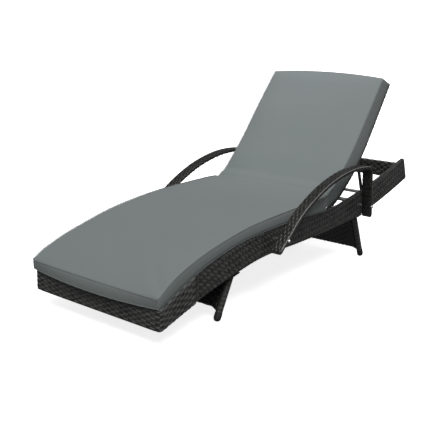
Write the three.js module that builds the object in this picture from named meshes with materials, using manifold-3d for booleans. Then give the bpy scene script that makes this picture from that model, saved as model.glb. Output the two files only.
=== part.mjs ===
// A reclining garden sun lounger: a curved steel frame wrapped in flat synthetic rattan, with two arched
// armrests, splayed legs, a backrest on a prop and rack, and a long box cushion.
// Sizes are in millimetres. s is the distance from the foot end along the lounger, z the height above the
// floor and x the distance from the middle plane. The model's origin is on the floor under its centre, with
// the foot end at -Y and the head end at +Y. "right" is the +X side.
import * as THREE from 'three'
import { mergeVertices } from 'three/addons/utils/BufferGeometryUtils.js'
import loadManifold from 'manifold-3d'

const wasm = await loadManifold()
wasm.setup()

// Driving dimensions
const LENGTH = 1950
const HALF_WIDTH = 325
const BOARD = 22
const SKIN = 2.5
const GAP = 0.3
const INNER = HALF_WIDTH - BOARD

// Edges of the curved side rail as [s, z]
const RAIL_TOP = [[0, 152], [200, 235], [360, 278], [540, 304], [800, 314], [1120, 311], [1340, 335], [1600, 383], [1910, 459]]
const RAIL_BOTTOM = [[0, 72], [200, 128], [400, 170], [620, 203], [900, 206], [1200, 213], [1440, 230], [1700, 280], [1950, 344]]
const RAIL_END_TOP = 1908
const RAIL_NOSE = 3.22
const SEAM_FOOT_SIDE = 190
const SEAM_HEAD_SIDE = 193
const FOOT_PROUD = 6

// Welded side frame hidden in the rail
const FRAME_BAR = 13
const FRAME_RUNGS = [170, 345, 525, 711, 890, 1070, 1255, 1439, 1600, 1755]
const APRON_WINDOWS = 4

// Cross pieces
const FOOT_APRON = { low: 72, high: 152 }
const HEAD_APRON = { s: 1880, low: 350, high: 430 }
const DECK = { from: 25, to: 1148, below: 7, thickness: 5.8 }
const CROSS_TUBE = 10
const TUBE_WALL = 1.5

// Legs: where each axis meets the floor, its top, and the tube
const LEG_RADIUS = 13.5
const LEG_X = 295
const LEGS = {
  front: { floorS: 359, topS: 441, topZ: 165 },
  rear: { floorS: 1540, topS: 1441, topZ: 217 },
}
const PANEL_THICKNESS = 14
const PANEL_LOW = 45
const BRACKET = { halfLength: 22, thickness: 3 }
const CAP_RADIUS = 15.2
const CAP_SINK = 1.4

// Armrests: the top surface of the band as [s, z], then the bend and the foot of the post
const ARM_TOP = [[650, 228], [709, 275], [820, 364], [985, 442], [1150, 484], [1290, 494], [1385, 487]]
const ARM_BEND = [1424, 483]
const ARM_POST = [[1427, 450], [1453, 233]]
const ARM_INNER = 334
const ARM_WIDTH = 49
const ARM_THICKNESS = 16
const ARM_BAR = 12
const ARM_BOLTS = { front: [711, 266], post: [1439, 284] }
const ARM_BOLT = { shank: 4, collar: 8, head: 8, crown: 5.5, proud: 7 }

// Backrest: the hinge axis, then points on the stile's centre line up to the top tube
const HINGE = [1170, 289]
const STILE = [HINGE, [1214, 313], [1320, 380], [1476, 525], [1691, 817]]
const STILE_X = 286
const STILE_RADIUS = 10
const STILE_CORNER = 38
const EYE_RADIUS = 13
const PIN_RADIUS = 5
const BACK_SKIN = { offset: 10.4, thickness: 6, halfWidth: 296 }

// Prop: its pivot on the backrest, its bar on the rack, and where the bar travels as the backrest is lowered
const PROP_PIVOT = [1500, 512]
const PROP_BAR = [1585, 313]
const PROP_X = 250
const PROP_BAR_RADIUS = 8
const RECLINE = 33
const PROP_TURN = 82.9
const RACK_CLEARANCE = 1.2
const RACK_STOPS = 5
const RACK_X = 297.5
const NOTCH_DEPTH = 4
const PLATE = 4

// Cushions
const CUSHION_TOP = [[0, 202], [75, 250], [200, 295], [360, 331], [540, 357], [800, 371], [1150, 380]]
const FOLD = [1150, 380]
const FOLD_FOOT = [1164, 316]
const BACK_CUSHION = { halfWidth: 300, front: 86, back: 17.6, backShort: 8, frontShort: 42 }

const MATERIALS = {
  rattan: { color: 0x2b2c2b, roughness: 0.55, metalness: 0 },
  coatedSteel: { color: 0x1d1e1f, roughness: 0.5, metalness: 0.3 },
  bareSteel: { color: 0xb8bbbd, roughness: 0.35, metalness: 0.9 },
  rubber: { color: 0x161616, roughness: 0.8, metalness: 0 },
  fabric: { color: 0x7b8381, roughness: 0.95, metalness: 0 },
}

const lounger = new THREE.Group()
lounger.position.y = -LENGTH / 2

function add(name, geometry, material) {
  const mesh = new THREE.Mesh(geometry, new THREE.MeshStandardMaterial(MATERIALS[material]))
  mesh.name = name
  lounger.add(mesh)
}

// Booleans
function solid(geometry) {
  const bare = geometry.clone()
  bare.deleteAttribute('normal')
  bare.deleteAttribute('uv')
  const merged = mergeVertices(bare, 1e-4)
  const vertProperties = new Float32Array(merged.attributes.position.array)
  const triVerts = new Uint32Array(merged.index.array)
  return new wasm.Manifold(new wasm.Mesh({ numProp: 3, vertProperties, triVerts }))
}

function surface(manifold) {
  const mesh = manifold.getMesh()
  const geometry = new THREE.BufferGeometry()
  geometry.setAttribute('position', new THREE.BufferAttribute(mesh.vertProperties, 3))
  geometry.setIndex(new THREE.BufferAttribute(mesh.triVerts, 1))
  geometry.computeVertexNormals()
  return geometry
}

function cut(geometry, ...tools) {
  return surface(tools.reduce((rest, tool) => rest.subtract(solid(tool)), solid(geometry)))
}

function join(geometry, ...others) {
  return surface(others.reduce((sum, other) => sum.add(solid(other)), solid(geometry)))
}

// Outlines in the side plane, and the solids they make
const SIDE_PLANE = new THREE.Matrix4().makeBasis(
  new THREE.Vector3(0, 1, 0), new THREE.Vector3(0, 0, 1), new THREE.Vector3(1, 0, 0))
const FRONT_PLANE = new THREE.Matrix4().makeBasis(
  new THREE.Vector3(1, 0, 0), new THREE.Vector3(0, 0, 1), new THREE.Vector3(0, -1, 0))

function across(shape, x0, x1, curveSegments = 8) {
  const low = Math.min(x0, x1)
  const depth = Math.abs(x1 - x0)
  const geometry = new THREE.ExtrudeGeometry(shape, { depth, bevelEnabled: false, curveSegments })
  return geometry.translate(0, 0, low).applyMatrix4(SIDE_PLANE)
}

function along(shape, s0, s1) {
  const geometry = new THREE.ExtrudeGeometry(shape, { depth: s1 - s0, bevelEnabled: false })
  return geometry.applyMatrix4(FRONT_PLANE).translate(0, s1, 0)
}

function vector([s, z]) {
  return new THREE.Vector2(s, z)
}

function disc([s, z], radius, holeRadius = 0) {
  const shape = new THREE.Shape().absarc(s, z, radius, 0, 2 * Math.PI)
  if (holeRadius > 0) shape.holes.push(new THREE.Path().absarc(s, z, holeRadius, 0, 2 * Math.PI))
  return shape
}

function rectangle(x0, x1, z0, z1) {
  return new THREE.Shape([vector([x0, z0]), vector([x1, z0]), vector([x1, z1]), vector([x0, z1])])
}

function evenly(from, to, step) {
  const count = Math.max(1, Math.round((to - from) / step))
  return Array.from({ length: count + 1 }, (_, i) => from + (to - from) * i / count)
}

// Both ends, and between them the places that every long outline shares, so that nested outlines stay apart
function stations(from, to) {
  const shared = [...evenly(0, LENGTH, 65), SEAM_FOOT_SIDE, SEAM_HEAD_SIDE].sort((a, b) => a - b)
  return [from, ...shared.filter(s => s > from + 1 && s < to - 1), to]
}

function heightCurve(points) {
  const samples = new THREE.SplineCurve(points.map(vector)).getPoints(300)
  return s => {
    const found = samples.findIndex(p => p.x >= s)
    const i = found < 0 ? samples.length - 1 : Math.max(1, found)
    const [a, b] = [samples[i - 1], samples[i]]
    return a.y + (b.y - a.y) * (s - a.x) / (b.x - a.x)
  }
}

function between(from, to, lower, upper) {
  const line = stations(from, to)
  const under = line.map(s => vector([s, lower(s)]))
  const over = line.map(s => vector([s, upper(s)])).reverse()
  return new THREE.Shape([...under, ...over])
}

// The outline left between two offsets of a line, positive towards its left-hand side
function strip(line, offsetA, offsetB) {
  const normals = line.map((p, i) => {
    const before = line[Math.max(0, i - 1)]
    const after = line[Math.min(line.length - 1, i + 1)]
    const ahead = after.clone().sub(before).normalize()
    return new THREE.Vector2(-ahead.y, ahead.x)
  })
  const edge = offset => line.map((p, i) => p.clone().addScaledVector(normals[i], offset))
  return new THREE.Shape([...edge(offsetA), ...edge(offsetB).reverse()])
}

function lengthen(line, extra) {
  const first = line[0].clone().sub(line[1]).setLength(extra).add(line[0])
  const end = line.at(-1).clone().sub(line.at(-2)).setLength(extra).add(line.at(-1))
  return [first, ...line, end]
}

function turnedX(points, [s, z], sign) {
  const profile = points.map(([radius, x]) => vector([radius, x]))
  const geometry = new THREE.LatheGeometry(profile, 10).rotateZ(-Math.PI / 2)
  if (sign < 0) geometry.rotateZ(Math.PI)
  return geometry.translate(0, s, z)
}

const railTop = heightCurve(RAIL_TOP)
const railBottom = heightCurve(RAIL_BOTTOM)
const SIDES = [['right', 1], ['left', -1]]

// Side rails: a woven sleeve on a welded frame, with a slanted head end. The rounding of its low corner takes
// away the RAIL_NOSE that the corner is drawn too long by.
function railOutline(from, inset) {
  const low = vector([LENGTH + RAIL_NOSE - inset, railBottom(LENGTH) + inset])
  const high = vector([RAIL_END_TOP - inset, railTop(RAIL_END_TOP) - inset])
  const lowStart = low.x - 12
  const highEnd = high.x - 16
  const lowTurn = high.clone().sub(low).setLength(12).add(low)
  const highTurn = low.clone().sub(high).setLength(16).add(high)
  const shape = new THREE.Shape()
  shape.moveTo(from, railBottom(from) + inset)
  for (const s of stations(from, lowStart).slice(1)) shape.lineTo(s, railBottom(s) + inset)
  shape.quadraticCurveTo(low.x, low.y, lowTurn.x, lowTurn.y)
  shape.lineTo(highTurn.x, highTurn.y)
  shape.quadraticCurveTo(high.x, high.y, highEnd, railTop(highEnd) - inset)
  for (const s of stations(from, highEnd).reverse().slice(1)) shape.lineTo(s, railTop(s) - inset)
  return shape
}

function armBoltHoles(sign) {
  const bore = ARM_BOLT.shank + 2 * GAP
  return Object.values(ARM_BOLTS).map(place =>
    across(disc(place, bore), sign * (INNER - 5), sign * (HALF_WIDTH + 80), 6))
}

const LEG_STUD = { x: 314, radius: 3, height: 14 }

function legStud(leg, sign, radius, height) {
  const geometry = new THREE.CylinderGeometry(radius, radius, height, 10).rotateX(Math.PI / 2)
  return geometry.translate(sign * LEG_STUD.x, leg.topS, railBottom(leg.topS) - 2 + height / 2)
}

function railHoles(sign) {
  const studs = Object.values(LEGS).map(leg => legStud(leg, sign, LEG_STUD.radius + GAP, LEG_STUD.height + 3))
  return [...armBoltHoles(sign), ...studs]
}

function sideFrame(sign) {
  const inset = SKIN + GAP
  const outline = railOutline(inset, inset)
  const margin = inset + FRAME_BAR
  const rungs = [inset + FRAME_BAR / 2, ...FRAME_RUNGS, RAIL_END_TOP - inset - FRAME_BAR / 2]
  for (const [i, rung] of rungs.slice(0, -1).entries()) {
    const [from, to] = [rung + FRAME_BAR / 2, rungs[i + 1] - FRAME_BAR / 2]
    const window = between(from, to, s => railBottom(s) + margin, s => railTop(s) - margin)
    outline.holes.push(new THREE.Path(window.getPoints()))
  }
  const bars = across(outline, sign * (INNER + inset), sign * (HALF_WIDTH - inset))
  return cut(bars, ...railHoles(sign))
}

for (const [side, sign] of SIDES) {
  const foot = between(0, SEAM_FOOT_SIDE, railBottom, railTop)
  const footHollow = between(
    SKIN, SEAM_FOOT_SIDE + 5, s => railBottom(s) + SKIN, s => railTop(s) - SKIN)
  const footX = [sign * INNER, sign * (HALF_WIDTH + FOOT_PROUD)]
  const footHollowX = [sign * (INNER + SKIN), sign * (HALF_WIDTH + FOOT_PROUD - SKIN)]
  add(`foot_weave_${side}`, cut(across(foot, ...footX), across(footHollow, ...footHollowX)), 'rattan')

  const rail = across(railOutline(SEAM_HEAD_SIDE, 0), sign * INNER, sign * HALF_WIDTH)
  const hollowX = [sign * (INNER + SKIN), sign * (HALF_WIDTH - SKIN)]
  const hollow = across(railOutline(SEAM_HEAD_SIDE - 5, SKIN), ...hollowX)
  add(`side_weave_${side}`, cut(rail, hollow, ...railHoles(sign)), 'rattan')
  add(`side_frame_${side}`, sideFrame(sign), 'coatedSteel')
}

// Aprons across the foot and head ends: a woven sleeve on a welded ladder
function apron(name, s, low, high) {
  const end = INNER - GAP
  const sleeve = cut(
    along(rectangle(-end, end, low, high), s, s + BOARD),
    along(rectangle(-end - 5, end + 5, low + SKIN, high - SKIN), s + SKIN, s + BOARD - SKIN))
  add(`${name}_weave_across`, sleeve, 'rattan')

  const inset = SKIN + GAP
  const ladder = along(rectangle(-end, end, low + inset, high - inset), s + inset, s + BOARD - inset)
  const width = (2 * end - (APRON_WINDOWS + 1) * FRAME_BAR) / APRON_WINDOWS
  const windows = Array.from({ length: APRON_WINDOWS }, (_, i) => {
    const from = -end + FRAME_BAR + i * (width + FRAME_BAR)
    const window = rectangle(from, from + width, low + inset + FRAME_BAR, high - inset - FRAME_BAR)
    return along(window, s - 1, s + BOARD + 1)
  })
  add(`${name}_frame_across`, cut(ladder, ...windows), 'coatedSteel')
}

apron('foot', 0, FOOT_APRON.low, FOOT_APRON.high)
apron('head', HEAD_APRON.s, HEAD_APRON.low, HEAD_APRON.high)

// Seat deck and the tubes that carry it
const deckLow = s => railTop(s) - DECK.below
add('seat_deck', across(
  between(DECK.from, DECK.to, deckLow, s => deckLow(s) + DECK.thickness), -INNER + GAP, INNER - GAP), 'rattan')

function crossTube(name, centre, radius, halfLength) {
  add(name, across(disc(centre, radius, radius - TUBE_WALL), -halfLength, halfLength, 7), 'coatedSteel')
}

const underDeck = s => [s, deckLow(s) - CROSS_TUBE - 1]
crossTube('cross_tube_foot', underDeck(70), CROSS_TUBE, INNER - GAP)
crossTube('cross_tube_front', underDeck(440), CROSS_TUBE, INNER - GAP)
crossTube('cross_tube_middle', underDeck(800), CROSS_TUBE, INNER - GAP)
crossTube('cross_tube_hinge', underDeck(1118), CROSS_TUBE, INNER - GAP)
crossTube('cross_tube_rear', [1578, 262], CROSS_TUBE, INNER - GAP)

// Splayed legs with rounded foot caps, a woven panel between each pair, and brackets under the rails
const FLOOR = new THREE.BoxGeometry(LENGTH, 2 * LENGTH, 100).translate(0, LENGTH / 2, -50)

function legDirection(leg) {
  return new THREE.Vector3(0, leg.topS - leg.floorS, leg.topZ).normalize()
}

function legPlacement(leg, sign) {
  const turn = new THREE.Quaternion().setFromUnitVectors(new THREE.Vector3(0, 1, 0), legDirection(leg))
  const centre = new THREE.Vector3(sign * LEG_X, leg.floorS, 0)
  centre.addScaledVector(legDirection(leg), (CAP_RADIUS - CAP_SINK) / legDirection(leg).z)
  return new THREE.Matrix4().compose(centre, turn, new THREE.Vector3(1, 1, 1))
}

function footCap() {
  const rim = 22
  const bore = LEG_RADIUS + GAP
  const dome = evenly(-90, 0, 18).map(degrees => {
    const angle = THREE.MathUtils.degToRad(degrees)
    return vector([CAP_RADIUS * Math.cos(angle), CAP_RADIUS * Math.sin(angle)])
  })
  dome[0].x = 0
  const wall = [[CAP_RADIUS, rim], [bore, rim], [bore, 1], [0, 1]].map(vector)
  return new THREE.LatheGeometry([...dome, ...wall], 16)
}

function legTube(leg, sign) {
  const placement = legPlacement(leg, sign)
  const start = 1 + GAP
  const centre = new THREE.Vector3().setFromMatrixPosition(placement)
  const length = new THREE.Vector3(sign * LEG_X, leg.topS, leg.topZ).distanceTo(centre) - start
  const inner = LEG_RADIUS - TUBE_WALL
  const profile = [[inner, 0], [LEG_RADIUS, 0], [LEG_RADIUS, length], [inner, length], [inner, 0]].map(vector)
  return new THREE.LatheGeometry(profile, 14).translate(0, start, 0).applyMatrix4(placement)
}

function legBracket(leg, sign) {
  const half = BRACKET.halfLength
  const underside = evenly(leg.topS - half, leg.topS + half, half).map(s => vector([s, railBottom(s)]))
  const section = strip(underside, -GAP, -GAP - BRACKET.thickness)
  const plate = across(section, sign * (LEG_X - LEG_RADIUS + 1), sign * (HALF_WIDTH - 1))
  return join(plate, legStud(leg, sign, LEG_STUD.radius, LEG_STUD.height))
}

for (const [end, leg] of Object.entries(LEGS)) {
  for (const [side, sign] of SIDES) {
    add(`${end}_leg_${side}`, legTube(leg, sign), 'rattan')
    add(`${end}_foot_cap_${side}`, cut(footCap().applyMatrix4(legPlacement(leg, sign)), FLOOR), 'rubber')
    add(`${end}_leg_bracket_${side}`, legBracket(leg, sign), 'bareSteel')
  }
  const direction = legDirection(leg)
  const onAxis = z => vector([leg.floorS + direction.y / direction.z * z, z])
  const panelEnd = LEG_X - LEG_RADIUS - GAP
  const panel = strip([onAxis(PANEL_LOW), onAxis(leg.topZ)], -PANEL_THICKNESS / 2, PANEL_THICKNESS / 2)
  add(`${end}_leg_panel`, across(panel, -panelEnd, panelEnd), 'rattan')
}

// Armrests: a woven band on a ladder of two bent bars, with a long bolt at each end
const armSpline = new THREE.SplineCurve(ARM_TOP.map(vector)).getSpacedPoints(16)
const armBend = new THREE.QuadraticBezierCurve(vector(ARM_TOP.at(-1)), vector(ARM_BEND), vector(ARM_POST[0]))
const ARM_LINE = [...armSpline, ...armBend.getPoints(5).slice(1), vector(ARM_POST[1])]

function armWindow(from, to, sign) {
  const line = ARM_LINE.slice(from, to + 1)
  const [x0, x1] = [ARM_INNER + SKIN + GAP + ARM_BAR, ARM_INNER + ARM_WIDTH - SKIN - GAP - ARM_BAR]
  return across(strip(line, 8, -ARM_THICKNESS - 8), sign * x0, sign * x1)
}

for (const [side, sign] of SIDES) {
  const outer = ARM_INNER + ARM_WIDTH
  const band = across(strip(ARM_LINE, 0, -ARM_THICKNESS), sign * ARM_INNER, sign * outer)
  const hollow = across(
    strip(lengthen(ARM_LINE, 5), -SKIN, SKIN - ARM_THICKNESS), sign * (ARM_INNER + SKIN), sign * (outer - SKIN))
  add(`arm_weave_${side}`, cut(band, hollow, ...armBoltHoles(sign)), 'rattan')

  const inset = SKIN + GAP
  const bars = across(strip(ARM_LINE, -inset, inset - ARM_THICKNESS), sign * (ARM_INNER + inset), sign * (outer - inset))
  const windows = [[3, 6], [7, 10], [11, 14]].map(([from, to]) => armWindow(from, to, sign))
  add(`arm_frame_${side}`, cut(bars, ...windows, ...armBoltHoles(sign)), 'coatedSteel')

  const { shank, collar, head, crown, proud } = ARM_BOLT
  const [collarIn, collarOut] = [HALF_WIDTH + GAP, ARM_INNER - GAP]
  const profile = [[0, INNER + 4], [shank, INNER + 4], [shank, collarIn], [collar, collarIn], [collar, collarOut],
    [shank, collarOut], [shank, outer + GAP], [head, outer + GAP], [head, outer + proud / 2],
    [crown, outer + proud], [0, outer + proud]]
  for (const [end, place] of Object.entries(ARM_BOLTS)) {
    add(`arm_${end}_bolt_${side}`, turnedX(profile, place, sign), 'bareSteel')
  }
}

// Backrest frame: stiles with an eye at the hinge and a bend at the top, and three cross tubes
const stileLine = new THREE.SplineCurve(STILE.map(vector))
const stileEnd = vector(STILE.at(-1))
const stileAhead = stileLine.getTangent(1)

function stileCurve(sign) {
  const path = new THREE.CurvePath()
  const points = stileLine.getSpacedPoints(14).map(p => new THREE.Vector3(sign * STILE_X, p.x, p.y))
  const corner = stileEnd.clone().addScaledVector(stileAhead, STILE_CORNER)
  const last = new THREE.Vector3(sign * STILE_X, corner.x, corner.y)
  path.add(new THREE.CatmullRomCurve3(points))
  path.add(new THREE.QuadraticBezierCurve3(
    points.at(-1), last, new THREE.Vector3(sign * (STILE_X - STILE_CORNER), corner.x, corner.y)))
  return path
}

function stile(sign) {
  const section = disc([0, 0], STILE_RADIUS)
  const tube = new THREE.ExtrudeGeometry(section, { steps: 22, curveSegments: 5, extrudePath: stileCurve(sign) })
  const eyeX = [sign * (STILE_X - STILE_RADIUS), sign * (STILE_X + STILE_RADIUS)]
  const bore = across(disc(HINGE, PIN_RADIUS + GAP + 0.1), sign * (STILE_X - 20), sign * (STILE_X + 20))
  return cut(join(tube, across(disc(HINGE, EYE_RADIUS), ...eyeX)), bore)
}

for (const [side, sign] of SIDES) add(`back_stile_${side}`, stile(sign), 'rattan')

const stileMiddle = stileLine.getPointAt(0.52)
const backTubeEnd = STILE_X - STILE_RADIUS - 0.6
const topTube = stileEnd.clone().addScaledVector(stileAhead, STILE_CORNER)
const bottomTube = stileLine.getPointAt(0.075)
crossTube('back_top_tube', topTube.toArray(), STILE_RADIUS, STILE_X - STILE_CORNER - GAP)
crossTube('back_middle_tube', stileMiddle.toArray(), STILE_RADIUS - 1, backTubeEnd)
crossTube('back_bottom_tube', bottomTube.toArray(), STILE_RADIUS - 1, backTubeEnd)

// Woven skin on the front of the backrest frame, from its bottom tube to its top tube
const backLine = [...stileLine.getSpacedPoints(14).slice(1), topTube]
const skinInner = BACK_SKIN.offset
add('back_weave', across(
  strip(backLine, skinInner, skinInner + BACK_SKIN.thickness),
  -BACK_SKIN.halfWidth, BACK_SKIN.halfWidth), 'rattan')

// Hinge: a plate inside each rail and a pin through the stile's eye
for (const [side, sign] of SIDES) {
  const outer = INNER - GAP
  const plate = rectangle(HINGE[0] - 24, HINGE[0] + 24, HINGE[1] - 26, HINGE[1] + 16)
  plate.holes.push(new THREE.Path().absarc(...HINGE, PIN_RADIUS + GAP, 0, 2 * Math.PI))
  add(`hinge_plate_${side}`, across(plate, sign * (outer - PLATE), sign * outer), 'coatedSteel')

  const eye = [STILE_X - STILE_RADIUS - GAP, STILE_X + STILE_RADIUS + GAP]
  const pin = [[0, eye[0] - 4], [8, eye[0] - 4], [8, eye[0]], [PIN_RADIUS, eye[0]], [PIN_RADIUS, eye[1]],
    [8, eye[1]], [8, outer - PLATE - GAP], [PIN_RADIUS, outer - PLATE - GAP], [PIN_RADIUS, outer], [0, outer]]
  add(`hinge_pin_${side}`, turnedX(pin, HINGE, sign), 'bareSteel')
}

// Prop: two straps on lugs of the backrest's middle tube, and a bar that lies on the racks
function capsule(a, b, radiusA, radiusB) {
  const angle = Math.atan2(b.y - a.y, b.x - a.x)
  const shape = new THREE.Shape()
  shape.absarc(a.x, a.y, radiusA, angle + Math.PI / 2, angle + 3 * Math.PI / 2)
  shape.absarc(b.x, b.y, radiusB, angle - Math.PI / 2, angle + Math.PI / 2)
  return shape
}

function hole(shape, centre, radius) {
  shape.holes.push(new THREE.Path().absarc(centre.x, centre.y, radius, 0, 2 * Math.PI))
}

const pivot = vector(PROP_PIVOT)
const bar = vector(PROP_BAR)

for (const [side, sign] of SIDES) {
  const strap = capsule(pivot, bar, 9, 12)
  hole(strap, pivot, PIN_RADIUS + GAP + 0.1)
  hole(strap, bar, PROP_BAR_RADIUS + 0.5)
  add(`prop_strap_${side}`, across(strap, sign * PROP_X, sign * (PROP_X + 5)), 'coatedSteel')

  const saddle = pivot.clone().sub(stileMiddle).setLength(6).add(stileMiddle)
  const lug = capsule(saddle, pivot, 11, 9)
  hole(lug, pivot, PIN_RADIUS + GAP)
  const tubeSeat = across(disc(stileMiddle.toArray(), STILE_RADIUS - 0.5), sign * (PROP_X - 10), sign * (PROP_X + 10))
  const lugX = [sign * (PROP_X - GAP - PLATE), sign * (PROP_X - GAP)]
  add(`prop_lug_${side}`, cut(across(lug, ...lugX), tubeSeat), 'coatedSteel')

  const [low, high] = [PROP_X - 2 * GAP - PLATE, PROP_X + 5 + GAP]
  const pin = [[0, low - 3], [8, low - 3], [8, low], [PIN_RADIUS, low], [PIN_RADIUS, high], [8, high],
    [8, high + 3], [0, high + 3]]
  add(`prop_pin_${side}`, turnedX(pin, PROP_PIVOT, sign), 'bareSteel')
}
crossTube('prop_bar', PROP_BAR, PROP_BAR_RADIUS, INNER - 1.3)

// Racks: the top edge follows the bar's travel, with a notch under each of its resting places
function barAt(share) {
  const centre = vector(HINGE)
  const lowered = -THREE.MathUtils.degToRad(RECLINE) * share
  const swung = THREE.MathUtils.degToRad(PROP_TURN) * share
  const pivotNow = pivot.clone().rotateAround(centre, lowered)
  return bar.clone().sub(pivot).rotateAround(new THREE.Vector2(), swung).add(pivotNow)
}

function rack(sign) {
  const travel = Array.from({ length: 25 }, (_, i) => barAt(i / 24))
  const edge = travel.map((p, i) => {
    const ahead = travel[Math.min(24, i + 1)].clone().sub(travel[Math.max(0, i - 1)]).normalize()
    return new THREE.Vector2(ahead.y, -ahead.x).multiplyScalar(PROP_BAR_RADIUS + RACK_CLEARANCE).add(p)
  })
  const hook = 14
  const near = travel[0].x - PROP_BAR_RADIUS - RACK_CLEARANCE - 1
  const far = Math.max(...edge.map(p => p.x)) + hook
  const [first, last] = [edge[0], edge.at(-1)]
  const outline = [
    vector([near - hook, travel[0].y + 4]),
    vector([near, travel[0].y + 6]),
    vector([near, first.y]),
    ...edge,
    vector([far - 5, last.y + 3]),
    vector([far, last.y - 3]),
    vector([far, railBottom(far) + 12]),
    ...stations(near + 45, far - 10).reverse().map(s => vector([s, railBottom(s) + 3])),
    vector([near - hook, travel[0].y - 29]),
  ]
  const notches = Array.from({ length: RACK_STOPS }, (_, i) => {
    const p = barAt(i / (RACK_STOPS - 1))
    return across(disc([p.x, p.y - NOTCH_DEPTH], PROP_BAR_RADIUS + 1), sign * (RACK_X - 5), sign * (INNER + 5))
  })
  return cut(across(new THREE.Shape(outline), sign * RACK_X, sign * (INNER - GAP)), ...notches)
}

for (const [side, sign] of SIDES) add(`rack_${side}`, rack(sign), 'coatedSteel')

// Cushions: plain solids that hold the space of the padded ones, meeting in the line above the hinge
const cushionTop = heightCurve(CUSHION_TOP)

function seatCushion() {
  const under = stations(1, FOLD_FOOT[0] - 1).map(s => vector([s, railTop(s) + 1]))
  const over = stations(1, FOLD[0] - 1).map(s => vector([s, cushionTop(s)])).reverse()
  return across(new THREE.Shape([...under, ...over]), -HALF_WIDTH, HALF_WIDTH)
}

function backCushion() {
  const line = [...backLine.slice(0, -2).filter(p => p.x > HINGE[0] + 60), topTube]
  const whole = strip(line, BACK_CUSHION.back, BACK_CUSHION.front).getPoints()
  const half = whole.length / 2
  const back = whole.slice(0, half)
  const front = whole.slice(half)
  back[half - 1].addScaledVector(stileAhead, -BACK_CUSHION.backShort)
  front[0].addScaledVector(stileAhead, -BACK_CUSHION.frontShort)
  const foldFoot = vector([FOLD_FOOT[0] + 1, FOLD_FOOT[1] + 8])
  const outline = [foldFoot, ...back, ...front, vector([FOLD[0] + 1, FOLD[1]])]
  return across(new THREE.Shape(outline), -BACK_CUSHION.halfWidth, BACK_CUSHION.halfWidth)
}

add('seat_cushion', seatCushion(), 'fabric')
add('back_cushion', backCushion(), 'fabric')

export default lounger
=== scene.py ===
"""Visual model of a reclining sun lounger: woven rattan on its frame, and one long padded cushion."""
import math

import bmesh
import bpy
import numpy as np
from mathutils import Matrix, Vector


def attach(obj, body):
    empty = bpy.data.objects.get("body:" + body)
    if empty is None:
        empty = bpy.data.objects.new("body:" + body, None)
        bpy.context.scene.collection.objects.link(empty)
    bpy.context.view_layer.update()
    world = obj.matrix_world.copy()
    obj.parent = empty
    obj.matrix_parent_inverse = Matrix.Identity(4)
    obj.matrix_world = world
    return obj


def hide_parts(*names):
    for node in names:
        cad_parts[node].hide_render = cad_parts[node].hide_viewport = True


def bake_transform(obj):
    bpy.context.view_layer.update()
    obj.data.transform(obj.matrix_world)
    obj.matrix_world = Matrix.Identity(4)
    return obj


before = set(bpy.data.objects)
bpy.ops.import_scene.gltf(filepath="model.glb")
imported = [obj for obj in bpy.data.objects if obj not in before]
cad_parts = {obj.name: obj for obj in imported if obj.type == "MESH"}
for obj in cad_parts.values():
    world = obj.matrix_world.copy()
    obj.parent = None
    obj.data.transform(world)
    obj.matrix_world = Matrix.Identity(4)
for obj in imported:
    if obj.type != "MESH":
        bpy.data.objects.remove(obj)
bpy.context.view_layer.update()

MM = 0.001
MIDDLE = 975            # the row frame's origin, as a distance from the foot end in mm

# Places below are [s, z] in mm: s from the foot end, z above the floor. x is from the middle plane.
HALF_WIDTH = 325
INNER = 303
RAIL_TOP = [[0, 152], [200, 235], [360, 278], [540, 304], [800, 314], [1120, 311], [1340, 335],
            [1600, 383], [1910, 459]]
RAIL_BOTTOM = [[0, 72], [200, 128], [400, 170], [620, 203], [900, 206], [1200, 213], [1440, 230],
               [1700, 280], [1950, 344]]
RAIL_END = 1950
RAIL_SLANT = 42
SEAM_FOOT_SIDE = 190
SEAM_HEAD_SIDE = 193
FOOT_PROUD = 6
BOARD = 22
HEAD_APRON = {"s": 1880, "low": 350, "high": 430}
DECK = {"from": 25, "to": 1148, "below": 4.1}
LEGS = {"front": (359, 441, 165), "rear": (1540, 1441, 217)}
LEG_X = 295
LEG_RADIUS = 13.5
ARM_TOP = [[650, 228], [709, 275], [820, 364], [985, 442], [1150, 484], [1290, 494], [1385, 487]]
ARM_BEND = [1424, 483]
ARM_POST = [[1427, 450], [1453, 233]]
ARM_INNER = 334
ARM_WIDTH = 49
ARM_THICKNESS = 16
STILE = [[1170, 289], [1214, 313], [1320, 380], [1476, 525], [1691, 817]]
STILE_X = 286
STILE_CORNER = 38
STILE_RADIUS = 10
CUSHION_TOP = [[0, 202], [75, 250], [200, 295], [360, 331], [540, 357], [800, 371], [1150, 380]]
FOLD = [1150, 380]
FOLD_FOOT = [1164, 316]
PANEL_LOW = 45
PANEL_DROP = 14         # how far the low edge curves down at the legs
PANEL_CURVE = 32        # how far from a leg that curve starts
PANEL_HALF = 5.6        # half of the panel's thickness

# The weave. Strips are counted along a surface. ROWS are the strips on a face and on an edge of a sleeve.
BULGE_MARKS = (0.14, 0.5, 0.86)     # where on a crossing a strip has its stations
BULGE_END = 0.6                     # how high a bulge is where its crossing ends, against its middle
STAKE_MARKS = (0.2, 0.8)
STRIP_INSET = 0.02                  # how far inside an open surface the strips end, in crossings
FLAT_LIFT = (1.0, 0.5)              # how far strips and stakes rise on the deck and the back, in mm
RAIL_STRIPS, RAIL_ROWS = 82, (8, 2)
RAIL_TURN = 0.9                     # rows that the rail's strips fall at each stake, as they wind round it
FOOT_STRIPS, FOOT_ROWS = 48, (8, 2)
HEAD_STRIPS, HEAD_ROWS = 30, (6, 2)
ARM_STRIPS, ARM_ROWS = 56, (5, 2)
PANEL_STRIPS, PANEL_ROWS = 26, {"front": (10, 1), "rear": (14, 1)}
DECK_COUNT = (72, 38)
BACK_COUNT = (58, 50)
WEAVE_DEPTH = 2.4                   # how far under its outer size a wrap's surface lies, in mm
ARM_DEPTH = 1.2
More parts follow.
